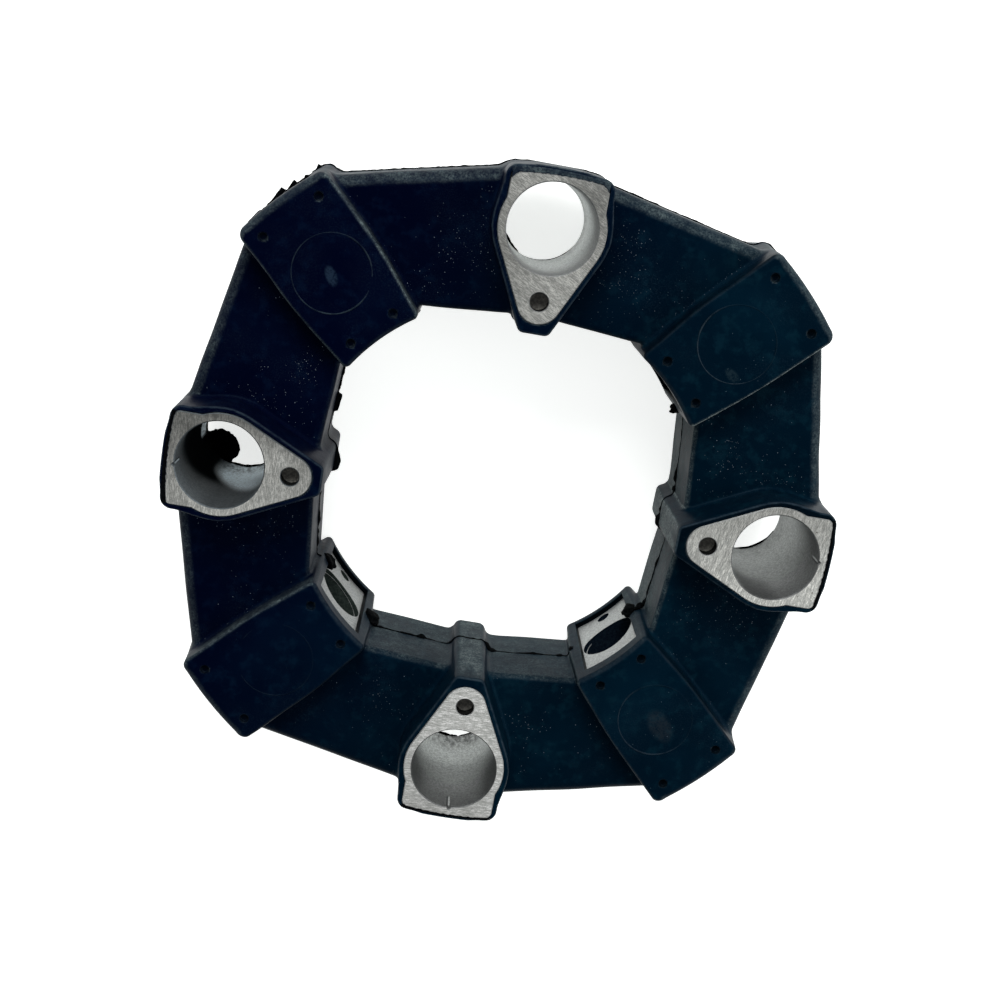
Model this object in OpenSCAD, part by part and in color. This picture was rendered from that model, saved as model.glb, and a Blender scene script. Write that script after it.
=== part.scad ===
// Flexible engine coupling: one moulded rubber ring with eight aluminium inserts bonded into it.
// Four axial inserts take the bolts and plug-in pins of the flywheel side, and four radial
// inserts take the bolts of the hub. All sizes are in millimetres. The ring lies flat, its
// axis is Z, and the lower faces of the four pads stand at z = 0.

/* [Ring] */
// Diameter of the circle through the centres of the four axial holes
bolt_circle_d = 215; // [211:0.5:219]
// Height of the four pads, which is the thickness of the rubber body
pad_h = 70; // [66:0.5:76]
// Height of the straight segments between the pads and the bosses
segment_h = 50; // [42:0.5:54]
// Slope of the moulded walls towards the parting plane, in degrees
draft = 1; // [0.5:0.1:1.6]

/* [Segments] */
// Distance from the bolt circle inwards to the inner wall of a segment, at the parting plane
segment_inner_reach = 34.8; // [33.5:0.1:36]
// Turn of the inner wall away from square to the axial hole's radius, in degrees
segment_inner_turn = 5.1; // [3.5:0.1:6.5]
// Distance from the bolt circle outwards to the outer wall of a segment, at the parting plane
segment_outer_reach = 20.1; // [18.5:0.1:21.1]
// Turn of the outer wall away from square to the axial hole's radius, in degrees
segment_outer_turn = 12.4; // [10:0.1:14]
// Radius on the two long inner edges of a segment
segment_inner_edge_r = 2.5; // [1.5:0.1:4]
// Radius on the two long outer edges of a segment
segment_outer_edge_r = 5; // [3:0.1:8]

/* [Axial inserts] */
// Length of an axial insert, from its lower face to its bolting face
axial_length = 71; // [68:0.5:76]
// How far the bolting faces stand above the pads
axial_stand = 9; // [6:0.5:12]
// Diameter of the through hole
axial_hole_d = 33.6; // [30:0.1:35]
// Diameter of the metal round the through hole
axial_boss_d = 40; // [38.5:0.1:42]
// Distance from the through hole inwards to the locating pin's hole
axial_pin_offset = 26.7; // [25.5:0.1:28]
// Diameter of the locating pin's hole
axial_pin_d = 7; // [5:0.1:8]
// Depth of the locating pin's hole
axial_pin_depth = 6; // [4:0.5:12]
// Radius of the metal round the locating pin's hole
axial_tip_r = 8.3; // [7:0.1:9.5]
// How far each flank of the square shoulder lies inside the side of the metal round the hole
axial_shoulder_step = 1.8; // [1:0.1:3]
// Distance from the through hole outwards to the end of the shoulder
axial_shoulder_reach = 20.4; // [19.5:0.1:21.5]
// Radius of the two outer corners of the shoulder
axial_corner_r = 3; // [2:0.1:4]

/* [Bosses] */
// Thickness of the rubber beside an axial insert, at its bolting face
boss_skin = 2; // [1.8:0.1:2.6]
// Distance from the bolt circle inwards to the rounded rib that runs down the inner wall
rib_reach = 38.9; // [38:0.1:40]
// Radius of the rib's two long edges
rib_edge_r = 2.6; // [1.5:0.1:3.5]
// Thickness of the rubber outside an axial insert, at its bolting face
boss_outer_skin = 1.3; // [1.1:0.1:2]
// Radius of the rim round the bolting face
boss_rim_r = 1; // [0.6:0.1:1.05]
// Radius of the rim round the lower end of a boss
boss_foot_r = 2.4; // [1.5:0.1:3]
// How far the rubber stops short of the insert's two faces
boss_set_back = 0.4; // [0.2:0.1:1]

/* [Pads] */
// Width of a pad over its outer part
pad_w = 40; // [37:0.5:43]
// Width of a pad at its inner end
pad_inner_w = 34; // [32:0.5:36]
// Distance from the bolt circle inwards to where a pad starts to narrow
pad_waist_reach = 2.5; // [-4:0.5:9]
// Distance from the bolt circle outwards to the pad's outer face, next to the pad's faces
pad_outer_reach = 33.7; // [31.5:0.1:35.5]
// How much further out the pad's outer face reaches at the parting plane
pad_bulge = 2.2; // [0.5:0.1:3]
// How much further out each flank of a pad reaches at the parting plane
pad_flank_bulge = 1.1; // [0.3:0.1:1.6]
// Distance from the bolt circle inwards to the pad's hollow inner face, which lies on the hub
pad_inner_reach = 28.7; // [28:0.1:30]
// Radius of the pad's upright outer corners
pad_corner_r = 2.8; // [2:0.1:4]
// Radius of the pad's upright inner corners
pad_inner_corner_r = 2; // [1:0.1:3]
// Radius of the edges between the pad's upper face and its two flanks
pad_rim_r = 1.2; // [0.8:0.1:2]
// Radius of the edge between the pad's upper face and its outer face
pad_outer_rim_r = 3; // [2:0.1:4]
// Radius of the edge between the pad's upper face and its hollow inner face
pad_nose_r = 2.2; // [1.5:0.1:4]
// Radius of the edges round the pad's lower face
pad_foot_r = 3; // [2:0.1:3.6]

/* [Radial inserts] */
// Diameter of the radial through hole
radial_hole_d = 23; // [20:0.1:24]
// Width of the ledge of the shallow counterbore round the hole in the hollow face
radial_ledge = 0.5; // [0.3:0.1:0.8]
// Depth of that counterbore
radial_counterbore_depth = 1.2; // [0.6:0.1:2]
// Thickness of the metal beside the counterbore
radial_side_wall = 0.4; // [0.3:0.1:1.5]
// Height of metal above the middle of the radial hole
radial_top = 26.3; // [25:0.1:28]
// Height of metal below the middle of the radial hole
radial_bottom = 29.5; // [28.5:0.1:30]
// Distance from the radial hole down to its locating pin's hole
radial_pin_offset = 25; // [23:0.1:25.5]
// Diameter of that locating pin's hole
radial_pin_d = 5.8; // [4:0.1:6.4]
// Depth of that locating pin's hole
radial_pin_depth = 6; // [4:0.5:12]
// How deep the metal faces lie behind the rubber
radial_recess = 2.3; // [1.2:0.1:3]

/* [Mould marks] */
// Diameter of the round marks that the mould's support pins leave in the pads
dimple_d = 3.4; // [2.4:0.1:4]
// Depth of those marks
dimple_depth = 1.6; // [1:0.1:3]
// Distance between the two outer marks of a pad
dimple_outer_gap = 25.6; // [22:0.1:27]
// Distance between the two inner marks of a pad
dimple_inner_gap = 19.6; // [16:0.1:21]
// Distance from the outer marks to the pad's outer face
dimple_outer_inset = 7; // [5:0.1:9]
// Distance from the inner marks to the pad's hollow face
dimple_inner_inset = 5.2; // [4.5:0.1:8]

/* [Hidden] */

RUBBER = [0.06, 0.08, 0.12];
METAL = [0.72, 0.71, 0.69];

STATIONS = 4;
STATION_TURN = 360 / STATIONS;
PAD_TURN = STATION_TURN / 2;

// Levels, from the floor up
part_z = pad_h / 2;
segment_low_z = part_z - segment_h / 2;
segment_top_z = part_z + segment_h / 2;
axial_top_z = pad_h + axial_stand;
axial_low_z = axial_top_z - axial_length;
boss_top_z = axial_top_z - boss_set_back;
boss_low_z = axial_low_z + boss_set_back;

// Places along the radius of an axial insert
axial_d = bolt_circle_d / 2;
axial_pin_at = axial_d - axial_pin_offset;
shoulder_end_r = axial_d + axial_shoulder_reach;
axial_shoulder_w = axial_boss_d - 2 * axial_shoulder_step;
// Lean of the two straight flanks between the tip and the boss
flank_lean = asin((axial_boss_d / 2 - axial_tip_r) / axial_pin_offset);

// Width at the parting plane that the draft takes off again towards the bolting face
boss_swell = (boss_top_z - part_z) * tan(draft);

// Places along the radius of the rubber's walls, all set out from the bolt circle
segment_inner_d = axial_d - segment_inner_reach;
segment_outer_d = axial_d + segment_outer_reach;
rib_d = axial_d - rib_reach;
pad_inner_r = axial_d - pad_inner_reach;
pad_waist_d = axial_d - pad_waist_reach;
pad_outer_r = axial_d + pad_outer_reach;

// Sizes and places of a radial insert
radial_counterbore_d = radial_hole_d + 2 * radial_ledge;
radial_w = radial_counterbore_d + 2 * radial_side_wall;
radial_face_r = pad_inner_r + radial_recess;
radial_seat_d = sqrt(pow(pad_outer_r, 2) - pow(radial_w / 2, 2)) - radial_recess;
counterbore_end_r = radial_face_r + radial_counterbore_depth;

// Turn about the boss's centre at which its circle has gone into the shoulder
SHOULDER_TURN = 24;
EDGE_STEPS = 3;
ARC_STEPS = 12;
OVERRUN = 1;
FAR = 400;

// Points of an arc from angle a0 to angle a1
function arc(centre, r, a0, a1, steps) =
    [for (i = [0:steps]) centre + r * [cos(a0 + (a1 - a0) * i / steps), sin(a0 + (a1 - a0) * i / steps)]];

// The same points on the other side of the radius, in the order that closes the outline
function mirrored(points) =
    [for (i = [len(points) - 1:-1:0]) [points[i][0], -points[i][1]]];

// Angle, at the boss's centre, at which its circle of radius r meets a shoulder of half width w
function shoulder_angle(r, w) = asin(w / r);

// Upper half of the outline of an axial insert, from its tip to its outer end
function insert_half() = let (
        r = axial_boss_d / 2,
        w = axial_shoulder_w / 2,
        c = axial_corner_r,
        corner_y = w - c,
        corner_x = sqrt(pow(shoulder_end_r - c, 2) - pow(corner_y, 2)),
        corner_turn = atan2(corner_y, corner_x)
    ) concat(
        arc([axial_pin_at, 0], axial_tip_r, 180, 90 + flank_lean, ARC_STEPS / 2),
        arc([axial_d, 0], r, 90 + flank_lean, shoulder_angle(r, w), ARC_STEPS),
        arc([corner_x, corner_y], c, 90, corner_turn, EDGE_STEPS),
        arc([0, 0], shoulder_end_r, corner_turn * 2 / 3, 0, 2));

// Whole outline of an axial insert
function insert_outline() = concat(insert_half(), mirrored(insert_half()));

// Half of the boss's outline with the rib, grown by off from the insert's own outline
function boss_half(off, rib) = let (
        r = axial_boss_d / 2 + off,
        lean = [-sin(flank_lean), cos(flank_lean)],
        nose = rib + rib_edge_r,
        nose_y = (axial_tip_r + off - rib_edge_r - lean[0] * (nose - axial_pin_at)) / lean[1]
    ) concat(
        arc([nose, nose_y], rib_edge_r, 180, 90 + flank_lean, EDGE_STEPS),
        arc([axial_d, 0], r, 90 + flank_lean, SHOULDER_TURN, ARC_STEPS));

// Half of the shoulder's outline, grown by off at its flanks and by out at its outer end
function shoulder_half(off, out) = let (
        w = axial_shoulder_w / 2 + off,
        c = axial_corner_r + off,
        end_r = shoulder_end_r + out,
        corner_y = w - c,
        corner_x = sqrt(pow(end_r - c, 2) - pow(corner_y, 2)),
        corner_turn = atan2(corner_y, corner_x)
    ) concat(
        [[axial_d, w]],
        arc([corner_x, corner_y], c, 90, corner_turn, EDGE_STEPS),
        arc([0, 0], end_r, corner_turn * 2 / 3, 0, 2));

// Half of a pad's outline before its inner face is hollowed, grown by off at its flanks and by out
// at its outer end
function pad_half(off, out) = let (
        w = pad_w / 2 + off,
        inner_w = pad_inner_w / 2 + off,
        inner_c = pad_inner_corner_r,
        inner_x = sqrt(pow(pad_inner_r, 2) - pow(inner_w - inner_c, 2)),
        c = pad_corner_r,
        end_r = pad_outer_r + out,
        corner_y = w - c,
        corner_x = sqrt(pow(end_r - c, 2) - pow(corner_y, 2)),
        corner_turn = atan2(corner_y, corner_x)
    ) concat(
        arc([inner_x + inner_c, inner_w - inner_c], inner_c, 180, 90, EDGE_STEPS),
        [[pad_waist_d, w]],
        arc([corner_x, corner_y], c, 90, corner_turn, EDGE_STEPS),
        arc([0, 0], end_r, corner_turn * 3 / 4, 0, 3));

// How far a rounded rim of radius r stands back, at the depth t under its face
function rim_inset(t, r) = t >= r ? 0 : r - sqrt(pow(r, 2) - pow(r - t, 2));

// Depths under a face at which a rim of radius r is sliced
function rim_depths(r) = [for (i = [EDGE_STEPS:-1:0]) r * (1 - sin(90 * i / EDGE_STEPS))];

// Repeats its children at every axial station, or at every pad
module at_stations(first) {
    for (k = [0:STATIONS - 1])
        rotate([0, 0, first + STATION_TURN * k])
            children();
}

// A thin slice of an outline at one level, for blending
module slice(points, level) {
    thin = 0.001;
    translate([0, 0, level - thin / 2])
        linear_extrude(thin)
            polygon(points);
}

// Slices of one half of a boss at the depth t under a face at the given level, with the rim radius r
module boss_slice(level, t, r, whole) {
    shift = sign(part_z - level) * t;
    swell = boss_swell - abs(part_z - level - shift) * tan(draft) - rim_inset(t, r);
    half = whole
        ? boss_half(boss_skin + swell, rib_d - swell)
        : shoulder_half(boss_skin + swell, boss_outer_skin + swell);
    slice(concat(half, mirrored(half)), level + shift);
}

// The rubber round an axial insert, with the rib at its inner side
module boss() {
    for (whole = [true, false])
        hull() {
            for (t = rim_depths(boss_rim_r))
                boss_slice(boss_top_z, t, boss_rim_r, whole);
            for (t = rim_depths(boss_foot_r))
                boss_slice(boss_low_z, t, boss_foot_r, whole);
            boss_slice(part_z, 0, 0, whole);
        }
}

// A slice of a pad at the depth t under its face at the given level, with the rims' two radii
module pad_slice(level, t, flank_r, outer_r) {
    inward = t / part_z;
    off = pad_flank_bulge * inward - rim_inset(t, flank_r);
    half = pad_half(off, pad_bulge * inward - rim_inset(t, outer_r));
    slice(concat(half, mirrored(half)), level + sign(part_z - level) * t);
}

// A pad before its hollow inner face and its windows are cut
module pad_block() {
    hull() {
        for (t = rim_depths(pad_outer_rim_r))
            pad_slice(pad_h, t, pad_rim_r, pad_outer_rim_r);
        for (t = rim_depths(pad_foot_r))
            pad_slice(0, t, pad_foot_r, pad_foot_r);
        pad_slice(0, part_z, 0, 0);
    }
}

// Section of a segment on the side of one wall: x runs from the wall into the rubber, y is the height
module wall_section(edge_r) {
    rise = segment_h / 2 - edge_r;
    lean_in = (segment_h / 2) * tan(draft);
    polygon(concat(
        arc([lean_in + edge_r, part_z - rise], edge_r, 270, 180, EDGE_STEPS + 1),
        [[0, part_z]],
        arc([lean_in + edge_r, part_z + rise], edge_r, 180, 90, EDGE_STEPS + 1),
        [[FAR, segment_top_z], [FAR, segment_low_z]]));
}

// Half space behind a segment's wall, with the wall's section drawn along it. The wall lies at
// the given distance from the ring's axis and is turned from square to the station's radius.
module wall_slab(distance, turn, edge_r, outer) {
    rotate([0, 0, turn])
        translate([distance, FAR / 2, 0])
            rotate([90, 0, 0])
                linear_extrude(FAR)
                    mirror([outer ? 1 : 0, 0])
                        wall_section(edge_r);
}

// Half of a segment, from inside a boss to just inside the flank of the next pad
module half_segment() {
    bury = 1;
    boss_side = axial_shoulder_w / 2 - bury;
    inner_side = pad_inner_w / 2 - bury;
    pad_side = pad_w / 2 - bury;
    intersection() {
        wall_slab(segment_inner_d, segment_inner_turn, segment_inner_edge_r, false);
        wall_slab(segment_outer_d, segment_outer_turn, segment_outer_edge_r, true);
        linear_extrude(pad_h)
            polygon([[0, 0], [0, -bury], [axial_d, -bury], [axial_d, boss_side],
                [FAR, boss_side], [FAR, FAR]]);
        rotate([0, 0, PAD_TURN])
            linear_extrude(pad_h)
                polygon([[0, -inner_side], [pad_inner_r, -inner_side], [pad_waist_d, -pad_side],
                    [FAR, -pad_side], [FAR, -FAR], [0, -FAR]]);
    }
}

// Tool that hollows the pads' inner faces, flared at both ends to round their edges
module inner_face_tool() {
    top_x = pad_inner_r + pad_nose_r;
    low_x = pad_inner_r + pad_foot_r;
    rotate_extrude($fn = 180)
        polygon(concat(
            [[0, -OVERRUN], [low_x, -OVERRUN]],
            arc([low_x, pad_foot_r], pad_foot_r, 270, 180, EDGE_STEPS),
            arc([top_x, pad_h - pad_nose_r], pad_nose_r, 180, 90, EDGE_STEPS),
            [[top_x, pad_h + OVERRUN], [0, pad_h + OVERRUN]]));
}

// Marks of the mould's support pins in one pad, on both faces
module dimples() {
    for (side = [-1, 1], level = [0, pad_h]) {
        translate([pad_outer_r - dimple_outer_inset, side * dimple_outer_gap / 2, level])
            cylinder(h = 2 * dimple_depth, d = dimple_d, center = true, $fn = 16);
        translate([pad_inner_r + dimple_inner_inset, side * dimple_inner_gap / 2, level])
            cylinder(h = 2 * dimple_depth, d = dimple_d, center = true, $fn = 16);
    }
}

// Straight window through a pad that a radial insert fills
module radial_window() {
    translate([0, -radial_w / 2, part_z - radial_bottom])
        cube([pad_outer_r + pad_bulge + OVERRUN, radial_w, radial_bottom + radial_top]);
}

// The moulded rubber body, open where the inserts sit
module rubber_ring() {
    color(RUBBER)
        difference() {
            union() {
                at_stations(0) {
                    half_segment();
                    mirror([0, 1, 0])
                        half_segment();
                    boss();
                }
                difference() {
                    at_stations(PAD_TURN)
                        pad_block();
                    inner_face_tool();
                }
            }
            at_stations(0)
                translate([0, 0, -OVERRUN])
                    linear_extrude(axial_top_z + 2 * OVERRUN)
                        polygon(insert_outline());
            at_stations(PAD_TURN) {
                radial_window();
                dimples();
            }
        }
}

// Aluminium insert with the large axial hole and the blind hole for its locating pin
module axial_insert(station) {
    color(METAL)
        rotate([0, 0, station * STATION_TURN])
            difference() {
                translate([0, 0, axial_low_z])
                    linear_extrude(axial_length)
                        polygon(insert_outline());
                translate([axial_d, 0, axial_low_z - OVERRUN])
                    cylinder(h = axial_length + 2 * OVERRUN, d = axial_hole_d, $fn = 96);
                translate([axial_pin_at, 0, axial_top_z - axial_pin_depth])
                    cylinder(h = axial_pin_depth + OVERRUN, d = axial_pin_d, $fn = 48);
            }
}

// Aluminium insert with the radial hole, hollowed at its inner face to seat on the hub
module radial_insert(station) {
    color(METAL)
        rotate([0, 0, PAD_TURN + station * STATION_TURN])
            difference() {
                translate([0, -radial_w / 2, part_z - radial_bottom])
                    cube([radial_seat_d, radial_w, radial_bottom + radial_top]);
                translate([0, 0, -OVERRUN])
                    cylinder(h = pad_h + 2 * OVERRUN, r = radial_face_r, $fn = 240);
                translate([0, 0, part_z])
                    rotate([0, 90, 0]) {
                        cylinder(h = pad_outer_r, d = radial_hole_d, $fn = 96);
                        cylinder(h = counterbore_end_r, d = radial_counterbore_d, $fn = 96);
                    }
                translate([0, 0, part_z - radial_pin_offset])
                    rotate([0, 90, 0])
                        cylinder(h = radial_face_r + radial_pin_depth, d = radial_pin_d, $fn = 48);
            }
}

rubber_ring();
axial_insert(0);  // axial_insert_1
axial_insert(1);  // axial_insert_2
axial_insert(2);  // axial_insert_3
axial_insert(3);  // axial_insert_4
radial_insert(0);  // radial_insert_1
radial_insert(1);  // radial_insert_2
radial_insert(2);  // radial_insert_3
radial_insert(3);  // radial_insert_4
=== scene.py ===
import math
import bmesh
import bpy
import numpy as np
from mathutils import Matrix, Vector
from mathutils.geometry import tessellate_polygon

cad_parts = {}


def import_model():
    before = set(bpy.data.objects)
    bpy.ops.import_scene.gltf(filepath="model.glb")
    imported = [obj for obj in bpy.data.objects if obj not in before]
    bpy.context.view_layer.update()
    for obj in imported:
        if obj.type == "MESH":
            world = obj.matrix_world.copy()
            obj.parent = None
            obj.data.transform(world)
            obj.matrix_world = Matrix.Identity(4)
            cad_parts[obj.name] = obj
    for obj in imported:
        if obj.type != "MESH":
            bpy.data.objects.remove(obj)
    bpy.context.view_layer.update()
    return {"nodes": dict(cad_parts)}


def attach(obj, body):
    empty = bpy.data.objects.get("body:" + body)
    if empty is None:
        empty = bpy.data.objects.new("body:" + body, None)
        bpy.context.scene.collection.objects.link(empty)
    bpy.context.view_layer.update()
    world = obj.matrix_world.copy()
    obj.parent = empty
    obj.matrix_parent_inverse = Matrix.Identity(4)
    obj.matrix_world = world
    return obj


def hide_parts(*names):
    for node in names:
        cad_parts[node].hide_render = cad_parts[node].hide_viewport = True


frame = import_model()
MM = 0.001

# Sizes, in millimetres
PART_Z, PAD_H = 35.0, 70.0           # the mould's parting plane, and the pads' upper face
AXIAL_R = 107.5                      # radius of the circle of axial holes
AXIAL_TOP, AXIAL_LOW = 79.0, 8.0
BORE_R = 16.8
PIN_AT, PIN_R, PIN_DEPTH = AXIAL_R - 26.7, 3.5, 6.0
BOSS_R, TIP_R = 20.0, 8.3
SHOULDER_W, SHOULDER_R, CORNER_R = 18.2, AXIAL_R + 20.4, 3.0
LEAN = math.asin((BOSS_R - TIP_R) / 26.7)
DRAFT = math.tan(math.radians(1.0))
BOSS_TOP, BOSS_LOW = AXIAL_TOP - 0.4, AXIAL_LOW + 0.4
COVER = 2.0                          # rubber round an axial insert
RIB_AT, RIB_R = 68.6, 2.6
SEG_HALF = 25.0                      # half a segment's height
SEG_IN, SEG_OUT = 72.7, 127.6        # how far its two walls lie from the axis
SEG_IN_TURN, SEG_OUT_TURN = math.radians(5.1), math.radians(12.4)
PAD_OUT, PAD_IN = 142.2, 78.8
PAD_NARROW, PAD_WIDE = 17.0, 20.0    # half a pad's width, which grows over TAPER from TAPER_AT
TAPER_AT, TAPER = 77.0, 28.0
WINDOW_W, WINDOW_H, WINDOW_Z = 12.4, 27.9, 33.4
MARKS, MARK_R, MARK_DEPTH = ((134.2, 12.8), (84.0, 9.8)), 1.7, 1.6
PAD_MID, RING_R = 109.0, 15.0        # the witness ring on a pad
EDGE = 129.955                       # nothing seen lies further out than this
HALF = math.sqrt(0.5)


# Outlines and distance fields
def arc(cx, cy, r, a0, a1, n):
    a = np.radians(np.linspace(a0, a1, n + 1))
    return np.stack([cx + r * np.cos(a), cy + r * np.sin(a)], 1)


def closed(half):
    """A half outline on the side y > 0, closed by its mirror image."""
    return np.concatenate([half, half[::-1] * [1.0, -1.0]])


def corner(w, end, r):
    """Arc that rounds the corner between a side and the outer circle, and where it ends."""
    cy = w - r
    cx = math.sqrt((end - r) ** 2 - cy ** 2)
    turn = math.degrees(math.atan2(cy, cx))
    return arc(cx, cy, r, 90, turn, 8), turn


def insert_half(tip, side, end, sweep=None):
    """Half an axial insert's outline, in so many steps for its tip, its side and its outer edge."""
    lean = math.degrees(LEAN)
    rounded, turn = corner(SHOULDER_W, SHOULDER_R, CORNER_R)
    return np.concatenate([
        arc(PIN_AT, 0, TIP_R, 180, 90 + lean, tip),
        arc(AXIAL_R, 0, BOSS_R, 90 + lean, math.degrees(math.asin(SHOULDER_W / BOSS_R)), side),
        rounded, arc(0, 0, SHOULDER_R, sweep or turn * 0.8, 0, end)])


def boss_half():
    lean = math.degrees(LEAN)
    nose = RIB_AT + RIB_R
    nose_y = (TIP_R + COVER - RIB_R + math.sin(LEAN) * (nose - PIN_AT)) / math.cos(LEAN)
    return np.concatenate([arc(nose, nose_y, RIB_R, 180, 90 + lean, 8),
                           arc(AXIAL_R, 0, BOSS_R + COVER, 90 + lean, 24, 18)])


def shoulder_half():
    w, end = SHOULDER_W + COVER, SHOULDER_R + 1.3
    rounded, turn = corner(w, end, CORNER_R + 1.6)
    return np.concatenate([[[AXIAL_R - 2.0, w]], rounded, arc(0, 0, end, turn * 0.8, 0, 5)])


INSERT = closed(insert_half(14, 16, 5))
BOSS, SHOULDER = closed(boss_half()), closed(shoulder_half())


def sd_polygon(x, y, pts):
    """Signed distance to a closed outline, negative inside."""
    best = np.full(x.shape, 1e9)
    inside = np.zeros(x.shape, bool)
    for (ax, ay), (bx, by) in zip(pts, np.roll(pts, -1, 0)):
        ex, ey = bx - ax, by - ay
        wx, wy = x - ax, y - ay
        t = np.clip((wx * ex + wy * ey) / max(ex * ex + ey * ey, 1e-18), 0, 1)
        best = np.minimum(best, (wx - t * ex) ** 2 + (wy - t * ey) ** 2)
        if ay != by:
            inside ^= ((ay > y) != (by > y)) & (x < ex * (y - ay) / ey + ax)
    return np.where(inside, -1.0, 1.0) * np.sqrt(best)


def cut(a, b, r):
    """Intersection with its outer edge rounded to r."""
    return np.minimum(-r, np.maximum(a, b)) + np.hypot(np.maximum(a + r, 0), np.maximum(b + r, 0))


def join(a, b, r):
    """Union with its inner corner filled to r."""
    return np.maximum(r, np.minimum(a, b)) - np.hypot(np.maximum(r - a, 0), np.maximum(r - b, 0))


def step(x, a, b):
    t = np.clip((x - a) / (b - a), 0, 1)
    return t * t * (3 - 2 * t)


def fold(x, y):
    """The 45 degrees from boss to pad: place along and across the boss's axis, then the pad's."""
    u, v = np.maximum(abs(x), abs(y)), np.minimum(abs(x), abs(y))
    return u, v, (u + v) * HALF, (u - v) * HALF


def rubber_plan(x, y):
    """What the rubber's field needs from x and y alone."""
    u, v, pu, pv = fold(x, y)
    slope = math.atan((PAD_WIDE - PAD_NARROW) / TAPER)
    taper = (pv - PAD_NARROW) * math.cos(slope) - (pu - TAPER_AT) * math.sin(slope)
    width = PAD_NARROW + (PAD_WIDE - PAD_NARROW) * np.clip((pu - TAPER_AT) / TAPER, 0, 1)
    return {
        "inner": SEG_IN - (math.cos(SEG_IN_TURN) * u + math.sin(SEG_IN_TURN) * v),
        "outer": math.cos(SEG_OUT_TURN) * u + math.sin(SEG_OUT_TURN) * v - SEG_OUT,
        "boss": join(sd_polygon(u, v, BOSS), sd_polygon(u, v, SHOULDER), 3.0),
        "insert": sd_polygon(u, v, INSERT),
        "flank": -join(PAD_WIDE - pv, -taper, 1.0),
        "core": width - 1.5 - pv,
        "keep": -np.maximum(AXIAL_R - u, v - 17.2),
        "mark": np.min([np.hypot(pu - a, pv - b) for a, b in MARKS], 0) - MARK_R,
        "r": np.hypot(u, v), "u": u, "v": v, "pv": pv}


def rubber_field(p, z):
    up = np.abs(z - PART_Z)
    high = z > PART_Z
    # straight segments, hollow where the pads and bosses pass through them
    slab = up - SEG_HALF
    seg = np.maximum(cut(p["inner"] + up * DRAFT, slab, 2.6), cut(p["outer"] + up * DRAFT, slab, 5.2))
    seg = np.maximum(np.maximum(seg, p["core"]), p["keep"])
    # bosses
    swell = (BOSS_TOP - PART_Z - up) * DRAFT
    mid, half = (BOSS_TOP + BOSS_LOW) / 2, (BOSS_TOP - BOSS_LOW) / 2
    thin = step(p["u"], 112.0, 120.0)
    foot = 1.6 + 2.4 * step(-p["u"], -77.0, -70.0) - 0.8 * thin
    boss = cut(p["boss"] - swell, np.abs(z - mid) - half, np.where(z > mid, 1.1 - 0.35 * thin, foot))
    # pads
    full = 1 - up / PART_Z
    flank = p["flank"] - 1.1 * full
    out = p["r"] - PAD_OUT - 2.2 * full
    hollow = PAD_IN - p["r"]
    side = cut(flank, out, 3.2)
    rim = np.where(high, 1.3 + 2.2 * step(out - flank, -4.0, 4.0), 3.0)
    within = step(hollow - side, -3.0, 3.0)
    rim = rim * (1 - within) + np.where(high, 2.1, 3.0) * within
    pad = cut(cut(side, hollow, 2.3), up - PART_Z, rim)
    window = np.maximum(np.abs(p["pv"]) - WINDOW_W, np.abs(z - WINDOW_Z) - WINDOW_H)
    # one body
    body = join(join(seg, boss, 1.9), pad, 2.0)
    body = cut(cut(body, -window, 0.55), -p["insert"], 0.45)
    return cut(body, -cut(p["mark"], PART_Z - MARK_DEPTH - up, 0.7), 0.3)


def gradient(field, pts, e=0.02):
    g = np.empty_like(pts)
    for k, d in enumerate(np.eye(3) * e):
        g[:, k] = (field(pts + d) - field(pts - d)) / (2 * e)
    return g


def settle(field, pts, reach, rounds=3):
    """Moves points onto the field's surface."""
    for _ in range(rounds):
        g = gradient(field, pts)
        s = np.clip(field(pts) / np.maximum((g * g).sum(1), 1e-6), -reach, reach)
        pts = pts - g * s[:, None]
    return pts


def surface_net(values, origin, h):
    """Quads round the zero surface of a sampled field."""
    solid = values < 0
    count = np.zeros(tuple(n - 1 for n in solid.shape), np.int8)
    corners = [(i, j, k) for i in (0, 1) for j in (0, 1) for k in (0, 1)]
    nx, ny, nz = count.shape
    for i, j, k in corners:
        count += solid[i:i + nx, j:j + ny, k:k + nz]
    cells = np.stack(np.nonzero((count > 0) & (count < 8)), 1)
    index = np.full(count.shape, -1, np.int64)
    index[tuple(cells.T)] = np.arange(len(cells))
    total, hits = np.zeros((len(cells), 3)), np.zeros(len(cells))
    for a in corners:
        for b in corners:
            if sum(b) - sum(a) == 1 and sum(abs(p - q) for p, q in zip(a, b)) == 1:
                fa, fb = values[tuple((cells + a).T)], values[tuple((cells + b).T)]
                m = (fa < 0) != (fb < 0)
                t = fa[m] / (fa[m] - fb[m])
                total[m] += np.array(a) + t[:, None] * (np.array(b) - np.array(a))
                hits[m] += 1
    quads = []
    for axis in range(3):
        o1, o2 = (axis + 1) % 3, (axis + 2) % 3
        lo, hi = [slice(None)] * 3, [slice(None)] * 3
        lo[axis], hi[axis] = slice(0, -1), slice(1, None)
        e = np.stack(np.nonzero(solid[tuple(lo)] != solid[tuple(hi)]), 1)
        for o in (o1, o2):
            e = e[(e[:, o] > 0) & (e[:, o] < solid.shape[o] - 1)]
        ring = []
        for d1, d2 in ((-1, -1), (0, -1), (0, 0), (-1, 0)):
            c = e.copy()
            c[:, o1] += d1
            c[:, o2] += d2
            ring.append(index[tuple(c.T)])
        q = np.stack(ring, 1)
        inward = ~solid[tuple(lo)][tuple(e.T)]
        q[inward] = q[inward][:, ::-1]
        quads.append(q)
    return (cells + total / hits[:, None]) * h + origin, np.concatenate(quads)


# Meshes
def link(name, data):
    obj = bpy.data.objects.new(name, data)
    bpy.context.scene.collection.objects.link(obj)
    return obj


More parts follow.
